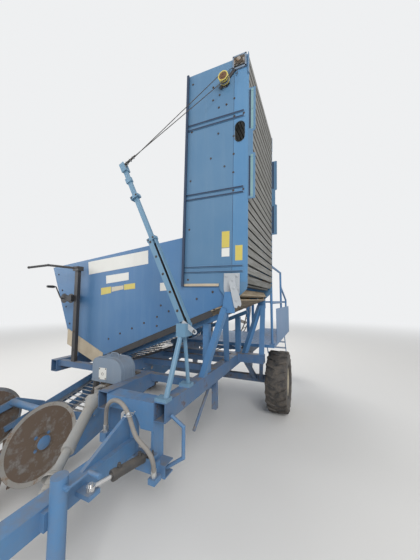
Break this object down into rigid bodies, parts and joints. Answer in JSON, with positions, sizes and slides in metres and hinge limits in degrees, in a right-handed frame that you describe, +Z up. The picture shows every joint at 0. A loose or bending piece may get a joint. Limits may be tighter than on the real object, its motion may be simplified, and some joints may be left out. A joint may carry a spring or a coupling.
{
  "type": "potato harvester",
  "caption": "Towed potato harvester with a cross bunker, raised unloading elevator, sieving channel, disc coulters, ring elevator, picking platform and swinging drawbar.",
  "frame": {"origin": "on the ground, under the middle of the box round the machine", "axes": "+X to the machine's left, the unloading side; the machine travels along -Y, so the hitch eye is at -Y and the ladder at +Y; +Z up"},
  "size_m": [2.7062, 6.016, 3.8746],
  "materials": {
    "main_frame": "semi-gloss, weathered",
    "axle_beam": "semi-gloss, weathered",
    "front_portal": "semi-gloss, weathered",
    "gearbox": "matt, greasy, with a pale grey-blue cover",
    "pto_tube": "dull grey guard",
    "pto_yoke": "dull grey guard, steel yoke",
    "hopper_front_wall": "semi-gloss, chalky",
    "hopper_rear_wall": "semi-gloss, chalky",
    "hopper_slope": "semi-gloss, worn inside",
    "hopper_floor": "weathered slats on dark chains",
    "hopper_legs": "semi-gloss, weathered",
    "rubber_skirt": "matt, dusty beige sheet",
    "mast_tripod": "semi-gloss, weathered",
    "mast": "semi-gloss, weathered",
    "rope_mast_fall": "dull, greasy rope",
    "rope_elevator_fall": "dull, greasy rope",
    "hose_post": "matt black",
    "elevator_front_side": "semi-gloss, rust along the lower edge",
    "elevator_rear_side": "semi-gloss, weathered",
    "elevator_apron": "weathered pale slats on dark chains",
    "elevator_head": "dull",
    "wheel_left_tyre": "matt, dusty",
    "wheel_left_rim": "cream, dusty",
    "wheel_right_tyre": "matt, dusty",
    "wheel_right_rim": "cream, dusty",
    "channel_sides": "semi-gloss, worn",
    "sieve_web": "worn rods on dark rubber bands",
    "share": "brown rust, worn edges",
    "coulter_arms": "semi-gloss, weathered",
    "coulter_left": "brown rust",
    "coulter_right": "brown rust",
    "ridge_roller": "brown rust",
    "lift_barrel": "matt",
    "lift_rod": "bright",
    "ring_elevator": "dull galvanized",
    "ring_cradle": "semi-gloss, weathered",
    "haulm_rollers": "matt rollers between dark plates",
    "picking_table": "matt belt between blue side boards",
    "platform": "semi-gloss, worn",
    "railing": "semi-gloss",
    "ladder": "semi-gloss",
    "drawbar": "semi-gloss, weathered",
    "hitch_eye": "dark, worn",
    "jack_body": "semi-gloss",
    "jack_leg": "dull zinc",
    "steer_barrel": "matt",
    "steer_rod": "bright",
    "hydraulic_hose": "matt, grey with dust"
  },
  "bodies": {
    "frame": {"main_frame": "main_frame", "axle_beam": "axle_beam", "front_portal": "front_portal", "gearbox": "gearbox", "hopper_front_wall": "hopper_front_wall", "hopper_rear_wall": "hopper_rear_wall", "hopper_slope": "hopper_slope", "hopper_floor": "hopper_floor", "hopper_legs": "hopper_legs", "rubber_skirt": "rubber_skirt", "mast_tripod": "mast_tripod", "mast": "mast", "hose_post": "hose_post", "ring_cradle": "ring_cradle", "haulm_rollers": "haulm_rollers", "picking_table": "picking_table", "platform": "platform", "railing": "railing", "hydraulic_hose": "hydraulic_hose"},
    "wheel_left": {"wheel_left_tyre": "wheel_left_tyre", "wheel_left_rim": "wheel_left_rim"},
    "wheel_right": {"wheel_right_tyre": "wheel_right_tyre", "wheel_right_rim": "wheel_right_rim"},
    "elevator": {"elevator_front_side": "elevator_front_side", "elevator_rear_side": "elevator_rear_side", "elevator_apron": "elevator_apron", "elevator_head": "elevator_head"},
    "mast_fall": {"rope_mast_fall": "rope_mast_fall"},
    "elevator_fall": {"rope_elevator_fall": "rope_elevator_fall"},
    "channel": {"channel_sides": "channel_sides", "sieve_web": "sieve_web", "share": "share", "coulter_arms": "coulter_arms"},
    "coulter_left": {"coulter_left": "coulter_left"},
    "coulter_right": {"coulter_right": "coulter_right"},
    "ridge_roller": {"ridge_roller": "ridge_roller"},
    "lift_barrel": {"lift_barrel": "lift_barrel"},
    "lift_rod": {"lift_rod": "lift_rod"},
    "ring_elevator": {"ring_elevator": "ring_elevator"},
    "drawbar": {"drawbar": "drawbar", "hitch_eye": "hitch_eye", "jack_body": "jack_body"},
    "jack_leg": {"jack_leg": "jack_leg"},
    "steer_barrel": {"steer_barrel": "steer_barrel"},
    "steer_rod": {"steer_rod": "steer_rod"},
    "pto_tube": {"pto_tube": "pto_tube"},
    "pto_yoke": {"pto_yoke": "pto_yoke"},
    "ladder": {"ladder": "ladder"}
  },
  "joints": [
    {"name": "wheel_left_turn", "type": "hinge", "parent": "frame", "child": "wheel_left", "pos_m": [1.195, 1.05, 0.4225], "axis": [1, 0, 0], "continuous": true},
    {"name": "wheel_right_turn", "type": "hinge", "parent": "frame", "child": "wheel_right", "pos_m": [-1.195, 1.05, 0.4225], "axis": [1, 0, 0], "continuous": true},
    {"name": "elevator_fold", "type": "hinge", "parent": "frame", "child": "elevator", "pos_m": [1.06, -0.09, 1.64], "axis": [0, 1, 0], "range_deg": [0, 67]},
    {"name": "mast_fall_turn", "type": "hinge", "parent": "frame", "child": "mast_fall", "pos_m": [0.14771, -1.067, 2.82401], "axis": [0, 1, 0], "range_deg": [-1, 54]},
    {"name": "elevator_fall_turn", "type": "hinge", "parent": "elevator", "child": "elevator_fall", "pos_m": [1.0189, -0.778, 3.6413], "axis": [0, 1, 0], "range_deg": [-16, 1]},
    {"name": "channel_depth", "type": "hinge", "parent": "frame", "child": "channel", "pos_m": [-0.61, 1.83, 1.06], "axis": [1, 0, 0], "range_deg": [0, 3]},
    {"name": "coulter_left_turn", "type": "hinge", "parent": "channel", "child": "coulter_left", "pos_m": [-0.238, -1.44, 0.52], "axis": [1, 0, 0], "continuous": true},
    {"name": "coulter_right_turn", "type": "hinge", "parent": "channel", "child": "coulter_right", "pos_m": [-0.982, -1.44, 0.52], "axis": [1, 0, 0], "continuous": true},
    {"name": "ridge_roller_turn", "type": "hinge", "parent": "channel", "child": "ridge_roller", "pos_m": [-0.61, -1.82, 0.38], "axis": [1, 0, 0], "continuous": true},
    {"name": "lift_barrel_turn", "type": "hinge", "parent": "frame", "child": "lift_barrel", "pos_m": [-0.27, -0.9, 0.97], "axis": [1, 0, 0], "range_deg": [0, 4.6]},
    {"name": "lift_rod_slide", "type": "slide", "parent": "lift_barrel", "child": "lift_rod", "axis": [0, -0.0883, -0.9961], "range_m": [0, 0.1445]},
    {"name": "ring_turn", "type": "hinge", "parent": "frame", "child": "ring_elevator", "pos_m": [-0.4, 2.098, 1.43], "axis": [0, 1, 0], "continuous": true},
    {"name": "drawbar_steer", "type": "hinge", "parent": "frame", "child": "drawbar", "pos_m": [0.5, -1.27, 0.685], "axis": [0, 0, 1], "range_deg": [-15, 15]},
    {"name": "steer_barrel_turn", "type": "hinge", "parent": "frame", "child": "steer_barrel", "pos_m": [0.725, -1.367, 0.6213], "axis": [0, 0, 1], "range_deg": [-16.7, 16.7]},
    {"name": "steer_rod_slide", "type": "slide", "parent": "steer_barrel", "child": "steer_rod", "axis": [-0.2851, -0.9585, 0], "range_m": [-0.065, 0.065]},
    {"name": "pto_turn", "type": "hinge", "parent": "frame", "child": "pto_tube", "pos_m": [0.09, -1.225, 0.85], "axis": [0, 0, 1], "range_deg": [-10.4, 10.4]},
    {"name": "pto_slide", "type": "slide", "parent": "pto_tube", "child": "pto_yoke", "axis": [0.4116, -0.8218, -0.3939], "range_m": [-0.1, 0.1]},
    {"name": "jack_slide", "type": "slide", "parent": "drawbar", "child": "jack_leg", "axis": [0, 0, 1], "range_m": [0, 0.26]},
    {"name": "ladder_fold", "type": "hinge", "parent": "frame", "child": "ladder", "pos_m": [0.89, 2.596, 0.98], "axis": [1, 0, 0], "range_deg": [0, 145]}
  ],
  "couplings": [
    {"joint": "mast_fall_turn", "follows": "elevator_fold", "ratio": 0.78},
    {"joint": "elevator_fall_turn", "follows": "elevator_fold", "ratio": -0.22},
    {"joint": "lift_barrel_turn", "follows": "channel_depth", "ratio": 1.4814},
    {"joint": "lift_rod_slide", "follows": "channel_depth", "m_per_rad": 2.7221},
    {"joint": "steer_barrel_turn", "follows": "drawbar_steer", "ratio": 1.0945},
    {"joint": "steer_rod_slide", "follows": "drawbar_steer", "m_per_rad": -0.2398},
    {"joint": "pto_turn", "follows": "drawbar_steer", "ratio": 0.6732},
    {"joint": "pto_slide", "follows": "drawbar_steer", "m_per_rad": 0.3755}
  ]
}
